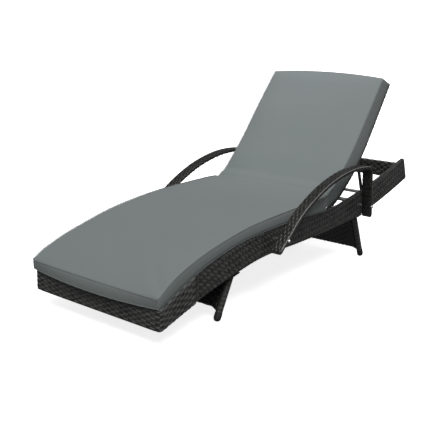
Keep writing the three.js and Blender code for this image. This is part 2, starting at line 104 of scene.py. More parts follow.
THIN_DEPTH = 1.3
TUBE_PITCH = 9                      # the winding's advance in one turn, in mm
BINDINGS = ((-0.32, 0.3), (0.32, 0.3))      # centre and width, as shares of the seam's length
BINDING_PROUD = 1.2
BINDING_LIFT = 0.4
SEAM_LAP = 4

# The cushion, in mm, or in stations along it where it says so.
SEAT_STATIONS, BACK_STATIONS = 104, 66
CUSHION_ROWS = (5, 58)
DENSE = 900             # stations of the finer lines that the cushion's shape is read from
EDGE_RADIUS = 6
BACK_UNDER = 17.6
BACK_THICK, BACK_SWELL, BACK_GAIN = 84, 20, 8
HEAD_SHORT = {"under": 6, "upper": 26}
LAST_STEP = 0.004       # metres kept clear before the shortened end
LEFT_FOOT, LEFT_SIDE, LEFT_SWELL = 344, 330, 11
CROWN, CROWN_REACH = 4, 5               # height, and stations from an end
HEAD_BOW, HEAD_BOW_REACH = 16, 16
FOOT_BOW, FOOT_BOW_REACH = 15, 6
FOOT_DROOP, FOOT_DROOP_REACH = 10, 2.2
CREASE, CREASE_REACH = 7, 1.1
LEFT_FOOT_DROP = 9
LEFT_SIDE_RISE = 6
PUFF = 0.006            # metres that the filling can push the cover out
CLOTH_FRAMES = 20
PIPING_RADIUS = 1.3

CAMERA_PLACE = (1.926, -2.742, 1.097)
CAMERA_ANGLES = (37.84, 14.13, 1.67)    # yaw, pitch and roll in degrees
CAMERA_LENS = 62.41
KEY_COLOUR = (1.0, 0.93, 1.0)
KEY_SPREAD = 36


# Lines ----------------------------------------------------------------------------------------------

def metres(points):
    """[s, z] places in mm as an array of (y, z) in metres."""
    return (np.array(points, float) - [MIDDLE, 0]) * MM


def spline(points, count=300):
    """A smooth line through [s, z] places, as (y, z) in metres."""
    p = np.array(points, float)
    t = np.linspace(0, len(p) - 1, count + 1)
    i = np.minimum(t.astype(int), len(p) - 2)
    w = (t - i)[:, None]
    before, a, b, after = p[np.maximum(i - 1, 0)], p[i], p[i + 1], p[np.minimum(i + 2, len(p) - 1)]
    leave, arrive = (b - before) / 2, (after - a) / 2
    cubic = 2 * a - 2 * b + leave + arrive
    square = -3 * a + 3 * b - 2 * leave - arrive
    return metres(cubic * w ** 3 + square * w ** 2 + leave * w + a)


def height_of(points):
    line = spline(points)
    return lambda y: np.interp(y, line[:, 0], line[:, 1])


def evenly(line, count):
    """count points at even distances along a line."""
    steps = np.r_[0, np.cumsum(np.linalg.norm(np.diff(line, axis=0), axis=1))]
    at = np.linspace(0, steps[-1], count)
    return np.stack([np.interp(at, steps, line[:, c]) for c in range(line.shape[1])], -1)


def length_of(line):
    return np.linalg.norm(np.diff(line, axis=0), axis=1).sum()


def point_on(line, at):
    index = np.arange(len(line))
    return np.stack([np.interp(at, index, line[:, c]) for c in range(line.shape[1])], -1)


def unit(vectors):
    return vectors / np.maximum(np.linalg.norm(vectors, axis=-1, keepdims=True), 1e-12)


def offset(line, distance):
    """A (y, z) line moved towards its left-hand side."""
    ahead = unit(np.gradient(line, axis=0))
    return line + np.stack([-ahead[:, 1], ahead[:, 0]], -1) * distance


def at_x(line, x):
    return np.column_stack([np.full(len(line), x), line])


def smooth_step(t):
    t = np.clip(t, 0, 1)
    return t * t * (3 - 2 * t)


def fade(s, start, rise, end, fall):
    """0 before start and after end and 1 between, with smooth slopes that are rise and fall long."""
    return smooth_step((s - start) / rise) * smooth_step((end - s) / fall)


rail_top = height_of(RAIL_TOP)
rail_bottom = height_of(RAIL_BOTTOM)
cushion_top = height_of(CUSHION_TOP)


# Meshes ---------------------------------------------------------------------------------------------

class Mesh:
    """Gathers quads, then makes an object of them."""

    def __init__(self):
        self.points, self.quads, self.uvs, self.tones, self.count = [], [], [], [], 0

    def add(self, points, quads, uvs, tones):
        self.points.append(points.reshape(-1, 3))
        self.quads.append(quads.reshape(-1, 4) + self.count)
        self.uvs.append(uvs.reshape(-1, 2))
        self.tones.append(tones.ravel())
        self.count += points.size // 3

    def build(self, name, material):
        points, quads = np.concatenate(self.points), np.concatenate(self.quads)
        mesh = bpy.data.meshes.new(name)
        mesh.vertices.add(len(points))
        mesh.vertices.foreach_set("co", points.astype(np.float32).ravel())
        mesh.loops.add(quads.size)
        mesh.loops.foreach_set("vertex_index", quads.astype(np.int32).ravel())
        mesh.polygons.add(len(quads))
        mesh.polygons.foreach_set("loop_start", np.arange(0, quads.size, 4, dtype=np.int32))
        mesh.update(calc_edges=True)
        mesh.polygons.foreach_set("use_smooth", np.ones(len(quads), bool))
        layer = mesh.uv_layers.new(name="strip")
        layer.data.foreach_set("uv", np.concatenate(self.uvs)[quads.ravel()].astype(np.float32).ravel())
        tone = mesh.attributes.new("tone", "FLOAT", "POINT")
        tone.data.foreach_set("value", np.concatenate(self.tones).astype(np.float32))
        mesh.materials.append(material)
        thing = bpy.data.objects.new(name, mesh)
        bpy.context.scene.collection.objects.link(thing)
        return thing


SECTION = np.array([(-0.5, 0), (-0.37, 0.5), (0.37, 0.5), (0.5, 0), (0.37, -0.5), (-0.37, -0.5)])


def ribbon_quads(strips, stations, closed):
    """Quads of six-sided ribbons, with their ends closed where they are open."""
    index = np.arange(strips * stations * 6).reshape(strips, stations, 6)
    ahead = np.roll(index, -1, axis=1) if closed else index[:, 1:]
    here = index if closed else index[:, :-1]
    sides = np.stack([here, np.roll(here, -1, 2), np.roll(ahead, -1, 2), ahead], -1).reshape(-1, 4)
    if closed:
        return sides
    first, last = index[:, 0], index[:, -1, ::-1]
    caps = [end[:, pick] for end in (first, last) for pick in ([0, 3, 2, 1], [0, 5, 4, 3])]
    return np.concatenate([sides, *caps])


def facing(points, quads, outward):
    """The quads, turned over if the first ones don't look the way that outward says."""
    flat = points.reshape(-1, 3)
    top = quads[1]
    normal = np.cross(flat[top[1]] - flat[top[0]], flat[top[3]] - flat[top[0]])
    return quads if normal @ outward > 0 else quads[:, ::-1]


def normals_at(place, u, v):
    step = 0.04
    du = place(u + step, v) - place(u - step, v)
    dv = place(u, v + step) - place(u, v - step)
    return unit(np.cross(du, dv))


def add_strips(mesh, place, side, run, stations, centres, rise, width, closed, tones, lift, thick):
    """Strips on place(u, v), along u for run 0 and along v for run 1. centres says where they lie on the
    other way, and rise, one row for each strip, how high each station is, from -1 to 1."""
    strips = len(centres)
    line = np.broadcast_to(stations[None, :, None], (strips, len(stations), 6))
    centre = np.asarray(centres, float)[:, None, None] + SECTION[None, None, :, 0] * width
    centre = np.broadcast_to(centre, line.shape)
    u, v = (line, centre) if run == 0 else (centre, line)
    normal = normals_at(place, u, v) * side
    high = rise[..., None] * lift + SECTION[None, None, :, 1] * thick
    points = place(u, v) + normal * (high * MM)[..., None]
    quads = ribbon_quads(strips, len(stations), closed)
    quads = facing(points, quads, normal.reshape(-1, 3)[1])
    uvs = np.stack([np.broadcast_to(SECTION[None, None, :, 0] + 0.5, line.shape), line * 0.01], -1)
    mesh.add(points, quads, uvs, np.broadcast_to(tones[:, None, None], line.shape))


def side_towards(place, counts, hint):
    middle = np.array([counts[0] / 2]), np.array([0.5])
    return 1.0 if normals_at(place, *middle)[0] @ np.array(hint, float) > 0 else -1.0


def crossing_stations(count, closed, marks):
    """Stations at the marks of each of the count crossings, and which crossing each one belongs to."""
    stations = (np.arange(count)[:, None] + np.array(marks)).ravel()
    crossing = stations.astype(int)
    if closed:
        return stations, crossing
    return np.r_[STRIP_INSET, stations, count - STRIP_INSET], np.r_[0, crossing, count - 1]


def weave(place, counts, closed, hint, seed, width=(0.93, 0.98), lift=(1.6, 0.5), thick=(1.8, 1.0),
          mesh=None):
    """Broad bulging strips along u, woven plainly over and under flat stakes along v, on the surface
    place(u, v) of counts crossings. hint points outward at its middle."""
    mesh = mesh or Mesh()
    random = np.random.default_rng(seed)
    side = side_towards(place, counts, hint)
    for run, marks in enumerate((BULGE_MARKS, STAKE_MARKS)):
        strip = np.arange(counts[1 - run])
        stations, crossing = crossing_stations(counts[run], closed[run], marks)
        i, j = (crossing[None, :], strip[:, None]) if run == 0 else (strip[:, None], crossing[None, :])
        rise = np.where((i + j) % 2 == 0, 1.0, -1.0) * (1 if run == 0 else -1)
        if run == 0:
            rise = rise * np.interp(stations % 1, (0, 0.5, 1), (BULGE_END, 1, BULGE_END))
        if not closed[run]:
            rise[:, [0, -1]] = 0
        # Stakes take the darker end of the rattan's colours and strips the lighter: partly a two-tone weave,
        # partly painted shade in the gaps between the strips.
        tones = (0.55 if run == 0 else 0.0) + 0.45 * random.random(len(strip))
        add_strips(mesh, place, side, run, stations, strip + 0.5, rise, width[run], closed[run], tones,
                   lift[run], thick[run])
    return mesh


def weave_round(place, strips, rows, hint, seed):
    """The weave round a sleeve."""
    return weave(place, (strips, 2 * sum(rows)), (False, True), hint, seed)


def corner_keys(faces, edges, radius):
    """Where the places round a sleeve lie: v, share across, share up, and how far in from the corner."""
    share = 0.4
    table = []
    corners = [(0, 0, 0, True), (faces, 0, 1, False), (faces + edges, 1, 1, True),
               (2 * faces + edges, 1, 0, False)]
    for at, across, up, from_edge in corners:
        for step in range(5):
            angle = step / 4 * math.pi / 2
            away = [radius * (1 - math.sin(angle)), radius * (1 - math.cos(angle))]
            dx, dz = away if from_edge else away[::-1]
            key = at + (step / 2 - 1) * share
            table.append((key, across, up, (1 - 2 * across) * dx, (1 - 2 * up) * dz))
    return np.array(table).T


def sleeve(corners, count, rows, radius):
    """place(u, v) on a sleeve round four lines: outer low, outer high, inner high, inner low. u runs along
    it over count crossings. v runs round it, over rows = (strips on a face, strips on an edge)."""
    total = 2 * sum(rows)
    key, *columns = corner_keys(*rows, radius * MM)

    def place(u, v):
        at = u * (len(corners[0]) - 1) / count
        outer_low, outer_high, inner_high, inner_low = (point_on(line, at) for line in corners)
        across, up, dx, dz = (np.interp(v, key, column, period=total)[..., None] for column in columns)
        low = outer_low + (inner_low - outer_low) * across
        high = outer_high + (inner_high - outer_high) * across
        inward = unit(inner_low + inner_high - outer_low - outer_high)
        upward = unit(outer_high - outer_low)
        return low + (high - low) * up + inward * dx + upward * dz
    return place


def rounded_ends(corners, radius, ends=(True, True)):
    """The four lines, drawn together over a quarter circle at the sleeve's ends."""
    middle = sum(corners) / 4
    steps = np.r_[0, np.cumsum(np.linalg.norm(np.diff(middle, axis=0), axis=1))]
    inset = np.zeros(len(steps))
    for used, distance in zip(ends, (steps, steps[-1] - steps)):
        if used:
            short = np.clip(radius * MM - distance, 0, radius * MM)
            inset = np.maximum(inset, radius * MM - np.sqrt((radius * MM) ** 2 - short ** 2))
    drawn = []
    for line, other, over in zip(corners, (corners[3], corners[2], corners[1], corners[0]),
                                 (corners[1], corners[0], corners[3], corners[2])):
        drawn.append(line + unit(other - line) * inset[:, None] + unit(over - line) * inset[:, None])
    return drawn


def patch(edge_a, edge_b, count):
    """place(u, v) on the surface between two lines: u along them, v from one to the other."""
    def place(u, v):
        at = u * (len(edge_a) - 1) / count[0]
        a, b = point_on(edge_a, at), point_on(edge_b, at)
        return a + (b - a) * (v / count[1])[..., None]
    return place


def frames_along(path):
    """Two directions square to a path at each of its points, carried along it without twist."""
    ahead = unit(np.gradient(path, axis=0))
    side = unit(np.cross(ahead[0], [0.3, 1.0, 0.2]))
    sides = []
    for direction in ahead:
        side = unit(side - direction * (side @ direction))
        sides.append(side)
    sides = np.array(sides)
    return sides, np.cross(ahead, sides)


def spiral(path, radius, pitch, seed, lean=0.5, thick=0.9):
    """A flat strip wound round a tube, each turn lapping over the last."""
    turns = length_of(path) / (pitch * MM)
    count = int(turns * 14)
    turn = np.linspace(0, turns, count)
    at = turn / turns * (len(path) - 1)
    side, other = frames_along(path)
    steps = (turn[:, None] + SECTION[None, :, 0] * 1.1) / turns * (len(path) - 1)
    steps = np.clip(steps, 0, len(path) - 1)
    middle = point_on(path, steps)
    a, b = point_on(side, steps), point_on(other, steps)
    angle = (turn * 2 * math.pi)[:, None, None]
    out = a * np.cos(angle) + b * np.sin(angle)
    away = radius + SECTION[:, 0] * lean + SECTION[:, 1] * thick
    points = middle + out * (away * MM)[None, :, None]
    quads = ribbon_quads(1, count, False)
    quads = facing(points, quads, out[0, 1])
    mesh = Mesh()
    tones = 0.5 + 0.3 * np.sin(at * 0.7 + seed)
    uvs = np.stack(np.broadcast_arrays(SECTION[None, :, 0] + 0.5, turn[:, None] * 0.08), -1)
    mesh.add(points, quads, uvs, np.broadcast_to(tones[:, None], (count, 6)))
    return mesh


# Materials ------------------------------------------------------------------------------------------

def srgb(text):
    """A colour written as six hex digits, as linear RGBA."""
    values = [int(text[i:i + 2], 16) / 255 for i in (0, 2, 4)]
    linear = [v / 12.92 if v <= 0.04045 else ((v + 0.055) / 1.055) ** 2.4 for v in values]
    return (*linear, 1.0)


class Nodes:
    """A short way to write a node material."""

    def __init__(self, name):
        self.material = bpy.data.materials.new(name)
        self.material.use_nodes = True
        self.tree = self.material.node_tree
        self.shader = next(n for n in self.tree.nodes if n.type == "BSDF_PRINCIPLED")

    def add(self, kind, settings=None, **inputs):
        node = self.tree.nodes.new("ShaderNode" + kind)
        for key, value in (settings or {}).items():
            setattr(node, key, value)
        for key, value in inputs.items():
            self.put(node.inputs[key.replace("_", " ")], value)
        return node

    def put(self, socket, value):
        if isinstance(value, bpy.types.NodeSocket):
            self.tree.links.new(value, socket)
        elif isinstance(value, bpy.types.Node):
            self.tree.links.new(value.outputs[0], socket)
        else:
            socket.default_value = value

    def noise(self, vector, scale, detail=3.0, rough=0.55):
        return self.add("TexNoise", Vector=vector, Scale=scale, Detail=detail, Roughness=rough)

    def math(self, operation, a, b=0.0, c=0.0):
        node = self.add("Math", {"operation": operation})
        for socket, value in zip(node.inputs, (a, b, c)):
            self.put(socket, value)
        return node

    def ramp(self, value, low, high, start, end):
        """A number from low..high to start..end."""
        node = self.add("MapRange")
        for key, number in (("Value", value), ("From Min", low), ("From Max", high), ("To Min", start),
                            ("To Max", end)):
            self.put(node.inputs[key], number)
        return node

    def mix(self, share, a, b, blend="MIX"):
        node = self.add("Mix", {"data_type": "RGBA", "blend_type": blend})
        self.put(node.inputs[0], share)
        self.put(node.inputs[6], a)
        self.put(node.inputs[7], b)
        return node.outputs[2]

    def place(self):
        return self.add("TexCoord").outputs["Object"]

    def set(self, **inputs):
        for key, value in inputs.items():
            self.put(self.shader.inputs[key.replace("_", " ")], value)

    def bump(self, height, strength, distance):
        node = self.add("Bump", Strength=strength, Distance=distance)
        self.put(node.inputs["Height"], height)
        self.put(self.shader.inputs["Normal"], node.outputs[0])


def rattan(name, dark, light, gloss=0.42):
    """Flat synthetic rattan: fine grooves along each strip, tone that drifts, and a satin face."""
    n = Nodes(name)
    here = n.place()
    uv = n.add("UVMap", {"uv_map": "strip"})
    across = n.add("SeparateXYZ", Vector=uv)
    groove = n.math("SINE", n.math("MULTIPLY", across.outputs[0], 44.0))
    fleck = n.noise(here, 420.0, 2.0)
    patchy = n.noise(here, 55.0, 3.0)
    tone = n.add("Attribute", {"attribute_name": "tone"}).outputs["Fac"]
    share = n.math("ADD", n.math("MULTIPLY", tone, 0.75), n.ramp(patchy, 0.3, 0.7, -0.1, 0.25))
    colour = n.mix(share, srgb(dark), srgb(light))
    rubbed = n.ramp(fleck, 0.5, 0.85, 0.0, 0.35)
    colour = n.mix(rubbed, colour, srgb("6b6a67"))
    n.set(Base_Color=colour, Roughness=n.ramp(patchy, 0.3, 0.7, gloss - 0.06, gloss + 0.14))
    n.shader.inputs["Specular IOR Level"].default_value = 0.4
    height = n.math("ADD", n.math("MULTIPLY", groove, 0.5), n.math("MULTIPLY", fleck, 0.8))
    n.bump(height, 0.35, 0.0005)
    return n.material


def cushion_cloth():
    """Plain-woven outdoor polyester: two thread directions, uneven yarn, and slight fading."""
    n = Nodes("cushion_cloth")
    here = n.place()
    parts = n.add("SeparateXYZ", Vector=here)
    wander = n.noise(here, 9.0, 3.0)
    threads = []
    for axis in range(3):
        straight = n.math("MULTIPLY", parts.outputs[axis], 3900.0)
        bent = n.math("ADD", straight, n.math("MULTIPLY", wander, 5.0))
        threads.append(n.math("SINE", bent))
    crossing = n.math("MAXIMUM", threads[0], threads[1])
    weave_height = n.math("ADD", crossing, n.math("MULTIPLY", threads[2], 0.6))
    yarn = n.noise(here, 700.0, 2.0)
    cloud = n.noise(here, 2.6, 4.0)
    colour = n.mix(n.ramp(cloud, 0.3, 0.7, 0.0, 1.0), srgb("646c6b"), srgb("686e6d"))
    colour = n.mix(n.ramp(yarn, 0.35, 0.7, 0.0, 0.3), colour, srgb("707675"))
    # The weave's hollows are darkened a little: painted shade between the threads.
    colour = n.mix(n.ramp(weave_height, -1.2, 1.4, 0.08, 0.0), colour, srgb("4d5554"))
    n.set(Base_Color=colour, Roughness=n.ramp(yarn, 0.3, 0.7, 0.82, 0.95))
    n.shader.inputs["Sheen Weight"].default_value = 0.12
    n.shader.inputs["Sheen Roughness"].default_value = 0.5
    n.bump(n.math("ADD", weave_height, n.math("MULTIPLY", yarn, 2.5)), 0.2, 0.0005)
    return n.material


def painted_steel(name, dark, light):
    n = Nodes(name)
    here = n.place()
    peel = n.noise(here, 380.0, 2.0)
    dust = n.noise(here, 14.0, 4.0)
    colour = n.mix(n.ramp(dust, 0.4, 0.75, 0.0, 0.6), srgb(dark), srgb(light))
    n.set(Base_Color=colour, Roughness=n.ramp(dust, 0.3, 0.7, 0.38, 0.6))
    n.bump(peel, 0.15, 0.0004)
    return n.material


def bare_steel():
    n = Nodes("bare_steel")
    here = n.place()
    stretched = n.add("Mapping", Vector=here)
    stretched.inputs["Scale"].default_value = (900.0, 60.0, 60.0)
    brush = n.noise(stretched, 1.0, 3.0)
    tarnish = n.noise(here, 90.0, 3.0)
    colour = n.mix(n.ramp(tarnish, 0.4, 0.75, 0.0, 0.5), srgb("c9cbcc"), srgb("9a9b9a"))
    n.set(Base_Color=colour, Roughness=n.ramp(brush, 0.3, 0.7, 0.18, 0.38))
    n.shader.inputs["Metallic"].default_value = 1.0
    n.bump(brush, 0.1, 0.0002)
    return n.material


def black_rubber():
    n = Nodes("black_rubber")
    here = n.place()
    grain = n.noise(here, 260.0, 3.0)
    scuff = n.noise(here, 60.0, 4.0)
    colour = n.mix(n.ramp(scuff, 0.5, 0.8, 0.0, 0.5), srgb("141414"), srgb("2e2d2c"))
    n.set(Base_Color=colour, Roughness=n.ramp(scuff, 0.3, 0.7, 0.55, 0.8))
    n.bump(grain, 0.2, 0.0004)
    return n.material


RATTAN = rattan("rattan_charcoal", "0d0d0d", "565554")
RATTAN_GREY = rattan("rattan_grey", "0d0d0d", "4d4c4b")
RATTAN_ARM = rattan("rattan_arm", "050505", "2b2a29", 0.3)
# Light grey for the strip along each arm's outer top edge: a painted highlight along that edge.
ARM_HIGHLIGHT_EDGE = rattan("rattan_arm_highlight_edge", "3a3938", "8a8987", 0.25)
# A near-black copy of the rattan. On the leg panels it is painted shade; on the seam bindings it draws the
# dark seam.
RATTAN_DARK_SHADE = rattan("rattan_dark_painted_shade", "060606", "151515")
CLOTH = cushion_cloth()
CAD_MATERIALS = {
    "painted": painted_steel("black_painted_steel", "1b1c1d", "303132"),
    # Near-white paint for the prop bar and rear cross tube: partly the bars' light metal, partly painted
    # light that lifts them where the backrest shades them.
    "pale_painted_light": painted_steel("grey_steel_painted_light", "c6c9cb", "dcdfe1"),
    "steel": bare_steel(),
    "rubber": black_rubber(),
}
FINISHES = {"foot_cap": "rubber", "bolt": "steel", "pin": "steel", "rear_leg_bracket": "steel",
            "prop_bar": "pale_painted_light", "cross_tube_rear": "pale_painted_light"}


def finish_piece(thing, body, slot, *nodes):
    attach(thing, body)
    if nodes:
        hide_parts(*nodes)
    return thing


# Camera ---------------------------------------------------------------------------------------------

def make_camera():
    data = bpy.data.cameras.new("camera")
    data.lens, data.sensor_width = CAMERA_LENS, 36
    data.clip_start, data.clip_end = 0.1, 60
    yaw, pitch, roll = (math.radians(angle) for angle in CAMERA_ANGLES)
    level = Vector((-math.sin(yaw), math.cos(yaw), 0))
    forward = level * math.cos(pitch) - Vector((0, 0, math.sin(pitch)))
    side = Vector((math.cos(yaw), math.sin(yaw), 0))
    top = Vector((0, 0, math.cos(pitch))) + level * math.sin(pitch)
    right = side * math.cos(roll) + top * math.sin(roll)
    up = top * math.cos(roll) - side * math.sin(roll)
    turn = Matrix((right, up, -forward)).transposed()
    camera = bpy.data.objects.new("camera", data)
    camera.matrix_world = Matrix.Translation(CAMERA_PLACE) @ turn.to_4x4()
    bpy.context.scene.collection.objects.link(camera)
    bpy.context.scene.camera = camera


make_camera()


# Rails ----------------------------------------------------------------------------------------------

def rail_lines(s_from, x_outer, x_inner):
    low_s = np.linspace(s_from, RAIL_END, 420)
    high_s = low_s - RAIL_SLANT * smooth_step((low_s - 1450) / (RAIL_END - 1450))
    low_y, high_y = (low_s - MIDDLE) * MM, (high_s - MIDDLE) * MM
    low = np.column_stack([low_y, rail_bottom(low_y)])
    high = np.column_stack([high_y, rail_top(high_y)])
    return [at_x(line, x * MM)
            for line, x in ((low, x_outer), (high, x_outer), (high, x_inner), (low, x_inner))]


def rail_wrap(side, sign):
    depth = WEAVE_DEPTH
    corners = rail_lines(SEAM_HEAD_SIDE, sign * (HALF_WIDTH - depth), sign * (INNER + depth))
    shifts = (depth, -depth, -depth, depth)
    corners = [line + np.array([0, 0, shift * MM]) for line, shift in zip(corners, shifts)]
    corners = rounded_ends(corners, 7, (False, True))
    straight = sleeve(corners, RAIL_STRIPS, RAIL_ROWS, 4)

    def place(u, v):
        return straight(u, v - RAIL_TURN * u)
    mesh = weave_round(place, RAIL_STRIPS, RAIL_ROWS, (sign, 0, 0), 11)
    low_outer, high_outer, high_inner, low_inner = (line[-1] for line in corners)
    end = [evenly(np.stack(pair), 20) for pair in ((low_outer, high_outer), (low_inner, high_inner))]
    cap = patch(end[0], end[1], RAIL_ROWS)
    weave(cap, RAIL_ROWS, (False, False), (0, 1, 0.3), 12, mesh=mesh)
    thing = mesh.build(f"rail_wrap_{side}", RATTAN_GREY)
    finish_piece(thing, "base", "rattan", f"side_weave_{side}")


SIDES = (("right", 1), ("left", -1))
for side, sign in SIDES:
    rail_wrap(side, sign)


# Foot end: one wrap from seam to seam, round both corners --------------------------------------------

def foot_plan(x, y_front, corner):
    """Half of the wrap's path in plan, from the seam to the middle of the foot end."""
    seam = (SEAM_FOOT_SIDE - MIDDLE) * MM
    side = np.column_stack([np.full(60, x), np.linspace(seam, y_front + corner, 60)])
    turn = np.linspace(0, math.pi / 2, 12)[1:-1]
    bend = np.column_stack([x - corner + corner * np.cos(turn), y_front + corner - corner * np.sin(turn)])
    front = np.column_stack([np.linspace(x - corner, 0, 110), np.full(110, y_front)])
    return side, bend, front


def foot_lines(depth):
    outer = foot_plan((HALF_WIDTH + FOOT_PROUD - depth) * MM, (depth - MIDDLE) * MM, 7 * MM)
    inner = foot_plan((INNER + depth) * MM, (BOARD - depth - MIDDLE) * MM, 1.5 * MM)
    lines = []
    for plan, low_side in ((outer, True), (outer, False), (inner, False), (inner, True)):
        half = np.concatenate(plan)
        shown = np.concatenate(outer)
        z = (rail_bottom(shown[:, 1]) + depth * MM) if low_side else (rail_top(shown[:, 1]) - depth * MM)
        z[60:] = z[60]
        line = np.column_stack([half, z])
        lines.append(np.concatenate([line, (line * [-1, 1, 1])[-2::-1]]))
    return lines


def even_corners(corners, count):
    """The same lines with their stations at even distances along the first."""
    steps = np.r_[0, np.cumsum(np.linalg.norm(np.diff(corners[0], axis=0), axis=1))]
    at = np.interp(np.linspace(0, steps[-1], count), steps, np.arange(len(steps)))
    return [point_on(line, at) for line in corners]


foot_corners = even_corners(foot_lines(WEAVE_DEPTH), 600)
foot_place = sleeve(foot_corners, FOOT_STRIPS, FOOT_ROWS, 4)
foot_mesh = weave_round(foot_place, FOOT_STRIPS, FOOT_ROWS, (0, -1, 0), 21)
finish_piece(foot_mesh.build("foot_wrap", RATTAN), "base", "rattan",
             "foot_weave_left", "foot_weave_right", "foot_weave_across")


def seam_binding(side, sign):
    """Two narrow bindings, a little apart, where the foot wrap meets the rail's."""
    mesh = Mesh()
    for centre, width in BINDINGS:
        s = np.linspace(SEAM_FOOT_SIDE - SEAM_LAP, SEAM_HEAD_SIDE + SEAM_LAP, 4)
        y = (s - MIDDLE) * MM
        lines = []
        outer, inner = HALF_WIDTH + BINDING_PROUD, INNER - BINDING_LIFT
        for x, low_side in ((outer, True), (outer, False), (inner, False), (inner, True)):
            z = (rail_bottom(y) - BINDING_LIFT * MM) if low_side else (rail_top(y) + BINDING_LIFT * MM)
            lines.append(np.column_stack([np.full(4, sign * x * MM), y, z]))
        place = sleeve(lines, 1, FOOT_ROWS, 4)
        side_of = side_towards(place, (1, 0), (sign, 0, 0))
        stations = np.arange(0, 2 * sum(FOOT_ROWS), 0.4)
        level = np.zeros((1, len(stations)))
        add_strips(mesh, place, side_of, 1, stations, [0.5 + centre], level, width, True,
                   np.array([0.5]), 0, 1.6)
    finish_piece(mesh.build(f"seam_binding_{side}", RATTAN_DARK_SHADE), "base", "rattan")


for side, sign in SIDES:
    seam_binding(side, sign)


# Head apron -----------------------------------------------------------------------------------------

def across_lines(s_near, s_far, low, high, half):
    x = np.linspace(-half, half, 60) * MM
    near, far = ((s_near + THIN_DEPTH - MIDDLE) * MM, (s_far - THIN_DEPTH - MIDDLE) * MM)
    low, high = (low + THIN_DEPTH) * MM, (high - THIN_DEPTH) * MM
    return [np.column_stack([x, np.full(60, y), np.full(60, z)])
            for y, z in ((far, low), (far, high), (near, high), (near, low))]


head_lines = across_lines(HEAD_APRON["s"], HEAD_APRON["s"] + BOARD, HEAD_APRON["low"], HEAD_APRON["high"],
                          INNER - 0.5)
head_place = sleeve(head_lines, HEAD_STRIPS, HEAD_ROWS, 4)
head_mesh = weave_round(head_place, HEAD_STRIPS, HEAD_ROWS, (0, 1, 0), 31)
finish_piece(head_mesh.build("head_wrap", RATTAN), "base", "rattan", "head_weave_across")


# Armrests -------------------------------------------------------------------------------------------

def arm_line():
    top = evenly(spline(ARM_TOP), 17)
    a, b, c = (metres([p])[0] for p in (ARM_TOP[-1], ARM_BEND, ARM_POST[0]))
    t = np.linspace(0, 1, 8)[1:, None]
    bend = a * (1 - t) ** 2 + b * 2 * t * (1 - t) + c * t ** 2
    line = np.concatenate([top, bend, metres(ARM_POST[1:])])
    return evenly(line, 400)


def arm_wrap(side, sign):
    top = offset(arm_line(), -ARM_DEPTH * MM)
    under = offset(arm_line(), -(ARM_THICKNESS - ARM_DEPTH) * MM)
    x0, x1 = sign * (ARM_INNER + ARM_DEPTH) * MM, sign * (ARM_INNER + ARM_WIDTH - ARM_DEPTH) * MM
    corners = [at_x(top, x1), at_x(top, x0), at_x(under, x0), at_x(under, x1)]
    corners = rounded_ends(corners, 6.5)
    place = sleeve(corners, ARM_STRIPS, ARM_ROWS, 4.5)
    mesh = weave_round(place, ARM_STRIPS, ARM_ROWS, (0, 0, 1), 41)
    finish_piece(mesh.build(f"arm_wrap_{side}", RATTAN_ARM), "base", "rattan", f"arm_weave_{side}")
    # A raised strip along the arm's outer top edge, coloured light as a painted highlight.
    edge = Mesh()
    stations = np.arange(0.4, ARM_STRIPS - 0.2, 0.5)
    towards = side_towards(place, (ARM_STRIPS, 0), (0, 0, 1))
    raised = np.full((1, len(stations)), 1.0)
    add_strips(edge, place, towards, 0, stations, [0.0], raised, 0.3, False, np.array([0.6]), 2.2, 1.6)
    finish_piece(edge.build(f"arm_edge_{side}", ARM_HIGHLIGHT_EDGE), "base", "rattan")


for side, sign in SIDES:
    arm_wrap(side, sign)


# Legs and the panels between them --------------------------------------------------------------------

def leg_axis(leg, z):
    floor_s, top_s, top_z = leg
    return np.stack([floor_s + (top_s - floor_s) * z / top_z, z], -1)


for end, leg in LEGS.items():
    for side, sign in SIDES:
        z = np.linspace(14, leg[2], 80)
        path = at_x(metres(leg_axis(leg, z)), sign * LEG_X * MM)
        thing = spiral(path, LEG_RADIUS - 0.6, TUBE_PITCH, sign).build(f"{end}_leg_wrap_{side}", RATTAN_GREY)
        finish_piece(thing, "base", "rattan", f"{end}_leg_{side}")
    x = np.linspace(-1, 1, 160) * (LEG_X - LEG_RADIUS - 0.6)
    near_leg = np.clip(1 - (LEG_X - LEG_RADIUS - np.abs(x)) / PANEL_CURVE, 0, 1)
    low_z = PANEL_LOW - PANEL_DROP * (1 - np.sqrt(1 - near_leg ** 2))
    ahead = unit((leg_axis(leg, np.array([float(leg[2])])) - leg_axis(leg, np.array([0.0])))[0])
    lines = []
    for push, low_side in ((1, True), (1, False), (-1, False), (-1, True)):
        z = low_z + THIN_DEPTH if low_side else np.full_like(low_z, leg[2] - THIN_DEPTH)
        s_z = leg_axis(leg, z) + np.array([ahead[1], -ahead[0]]) * PANEL_HALF * push
        lines.append(np.column_stack([x * MM, metres(s_z)]))
    # The panels use the near-black rattan copy: painted shade.
    place = sleeve(lines, PANEL_STRIPS, PANEL_ROWS[end], 3)
    mesh = weave_round(place, PANEL_STRIPS, PANEL_ROWS[end], (0, ahead[1], -ahead[0]), 51)
    finish_piece(mesh.build(f"{end}_panel_wrap", RATTAN_DARK_SHADE), "base", "rattan", f"{end}_leg_panel")


# Seat deck and the backrest's skin -------------------------------------------------------------------

deck_y = (np.linspace(DECK["from"], DECK["to"], 200) - MIDDLE) * MM
deck_line = np.column_stack([deck_y, rail_top(deck_y) - DECK["below"] * MM])
deck_line = evenly(deck_line, 200)
deck_place = patch(at_x(deck_line, -(INNER - 1) * MM), at_x(deck_line, (INNER - 1) * MM), DECK_COUNT)
deck_mesh = weave(deck_place, DECK_COUNT, (False, False), (0, 0, 1), 61, lift=FLAT_LIFT)
finish_piece(deck_mesh.build("seat_web", RATTAN), "base", "rattan", "seat_deck")

